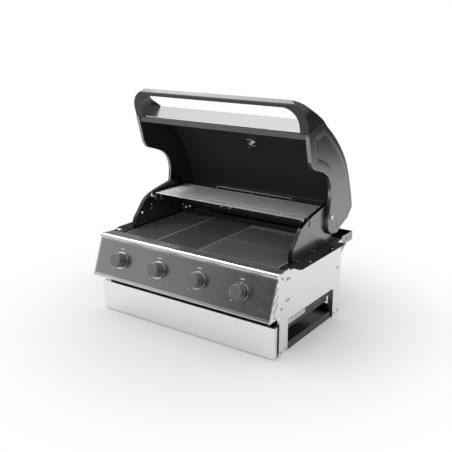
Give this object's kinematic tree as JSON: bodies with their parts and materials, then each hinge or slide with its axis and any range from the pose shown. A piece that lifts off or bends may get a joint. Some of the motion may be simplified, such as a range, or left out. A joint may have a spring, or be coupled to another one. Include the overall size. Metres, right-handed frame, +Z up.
{
  "type": "built-in gas grill",
  "caption": "Built-in gas barbecue grill: stainless drop-in body with knobs, cast grates, hotplate, warming rack, drip drawer and a roll-back hood with a loop handle, shown open",
  "frame": {"origin": "centre of the base's underside, on the plane the legs and base pan stand on", "axes": "+X to the right seen from the front, +Y to the back, +Z up; the hood is shown open"},
  "size_m": [0.8, 0.614, 0.8026],
  "materials": {
    "black_enamel": "semi-gloss black enamel",
    "brushed_stainless": "fine brushed stainless sheet",
    "polished_stainless": "bright polished stainless sheet",
    "galvanised_steel": "plain galvanised sheet",
    "dark_panel": "satin charcoal panel",
    "chrome_trim": "bright chrome",
    "valve_brass": "machined brass",
    "burner_steel": "heat-tinted stainless",
    "ceramic_white": "glazed ceramic with a steel wire",
    "screw_steel": "zinc-plated steel",
    "liner_black": "matt black heat-proof coat",
    "hood_grey": "glossy dark grey coat on cast aluminium",
    "dial_face": "white dial with a dark needle",
    "clear_glass": "clear flat glass",
    "rack_chrome": "dull chrome-plated wire",
    "cast_iron_black": "dark coated cast iron",
    "knob_finish": "satin metal-coated knob"
  },
  "bodies": {
    "chassis": {"base_pan": "black_enamel", "front_leg_left": "brushed_stainless", "front_leg_right": "brushed_stainless", "side_panel_left": "brushed_stainless", "side_panel_right": "brushed_stainless", "corner_strip_left": "brushed_stainless", "corner_strip_right": "brushed_stainless", "rear_panel": "galvanised_steel", "firebox": "black_enamel", "side_wing_left": "polished_stainless", "side_wing_right": "polished_stainless", "counter_flange_left": "black_enamel", "counter_flange_right": "black_enamel", "trough_end_left": "brushed_stainless", "trough_end_right": "brushed_stainless", "rear_trough": "brushed_stainless", "trough_gussets": "galvanised_steel", "fascia_frame": "polished_stainless", "fascia_inset": "dark_panel", "fascia_cheek_left": "brushed_stainless", "fascia_cheek_right": "brushed_stainless", "knob_bezels": "chrome_trim", "valve_bodies": "valve_brass", "gas_manifold": "galvanised_steel", "gas_inlet": "valve_brass", "burner_1": "burner_steel", "burner_2": "burner_steel", "burner_3": "burner_steel", "burner_4": "burner_steel", "flame_tamers": "burner_steel", "igniter_electrodes": "ceramic_white", "shelf_pins": "chrome_trim", "drawer_runners": "galvanised_steel", "panel_screws": "screw_steel", "hinge_bolts": "screw_steel"},
    "hood": {"hood_skin": "brushed_stainless", "hood_liner": "liner_black", "hood_cap_left": "hood_grey", "hood_cap_right": "hood_grey", "hood_front_panel": "polished_stainless", "hood_band": "hood_grey", "hood_handle": "hood_grey", "thermometer_case": "chrome_trim", "thermometer_dial": "dial_face", "thermometer_lens": "clear_glass", "thermometer_nut": "chrome_trim"},
    "drawer": {"drawer_front": "brushed_stainless", "drip_tray": "galvanised_steel"},
    "rack": {"warming_rack": "rack_chrome"},
    "grate_left_body": {"grate_left": "cast_iron_black"},
    "grate_middle_body": {"grate_middle": "cast_iron_black"},
    "hotplate_body": {"hotplate": "cast_iron_black"},
    "stem_1": {"valve_stem_1": "screw_steel"},
    "knob_body_1": {"knob_1": "knob_finish"},
    "stem_2": {"valve_stem_2": "screw_steel"},
    "knob_body_2": {"knob_2": "knob_finish"},
    "stem_3": {"valve_stem_3": "screw_steel"},
    "knob_body_3": {"knob_3": "knob_finish"},
    "stem_4": {"valve_stem_4": "screw_steel"},
    "knob_body_4": {"knob_4": "knob_finish"}
  },
  "joints": [
    {"name": "hood_hinge", "type": "hinge", "parent": "chassis", "child": "hood", "pos_m": [0, 0.1396, 0.385], "axis": [1, 0, 0], "range_deg": [0, 73.5]},
    {"name": "drawer_slide", "type": "slide", "parent": "chassis", "child": "drawer", "axis": [0, -1, 0], "range_m": [0, 0.28]},
    {"name": "rack_lift", "type": "slide", "parent": "chassis", "child": "rack", "axis": [0, 0, 1], "range_m": [0, 0.06]},
    {"name": "grate_left_lift", "type": "slide", "parent": "chassis", "child": "grate_left_body", "axis": [0, 0, 1], "range_m": [0, 0.04]},
    {"name": "grate_middle_lift", "type": "slide", "parent": "chassis", "child": "grate_middle_body", "axis": [0, 0, 1], "range_m": [0, 0.04]},
    {"name": "hotplate_lift", "type": "slide", "parent": "chassis", "child": "hotplate_body", "axis": [0, 0, 1], "range_m": [0, 0.04]},
    {"name": "knob_1_push", "type": "slide", "parent": "chassis", "child": "stem_1", "axis": [0, 0.9385, -0.3453], "range_m": [0, 0.003], "stiffness_N_per_m": 900, "springref_m": -0.003},
    {"name": "knob_1_turn", "type": "hinge", "parent": "stem_1", "child": "knob_body_1", "pos_m": [-0.2615, -0.28112, 0.22463], "axis": [0, -0.9385, 0.3453], "range_deg": [-50, 130]},
    {"name": "knob_2_push", "type": "slide", "parent": "chassis", "child": "stem_2", "axis": [0, 0.9385, -0.3453], "range_m": [0, 0.003], "stiffness_N_per_m": 900, "springref_m": -0.003},
    {"name": "knob_2_turn", "type": "hinge", "parent": "stem_2", "child": "knob_body_2", "pos_m": [-0.0905, -0.28112, 0.22463], "axis": [0, -0.9385, 0.3453], "range_deg": [-50, 130]},
    {"name": "knob_3_push", "type": "slide", "parent": "chassis", "child": "stem_3", "axis": [0, 0.9385, -0.3453], "range_m": [0, 0.003], "stiffness_N_per_m": 900, "springref_m": -0.003},
    {"name": "knob_3_turn", "type": "hinge", "parent": "stem_3", "child": "knob_body_3", "pos_m": [0.0805, -0.28112, 0.22463], "axis": [0, -0.9385, 0.3453], "range_deg": [-50, 130]},
    {"name": "knob_4_push", "type": "slide", "parent": "chassis", "child": "stem_4", "axis": [0, 0.9385, -0.3453], "range_m": [0, 0.003], "stiffness_N_per_m": 900, "springref_m": -0.003},
    {"name": "knob_4_turn", "type": "hinge", "parent": "stem_4", "child": "knob_body_4", "pos_m": [0.2515, -0.28112, 0.22463], "axis": [0, -0.9385, 0.3453], "range_deg": [-50, 130]}
  ]
}
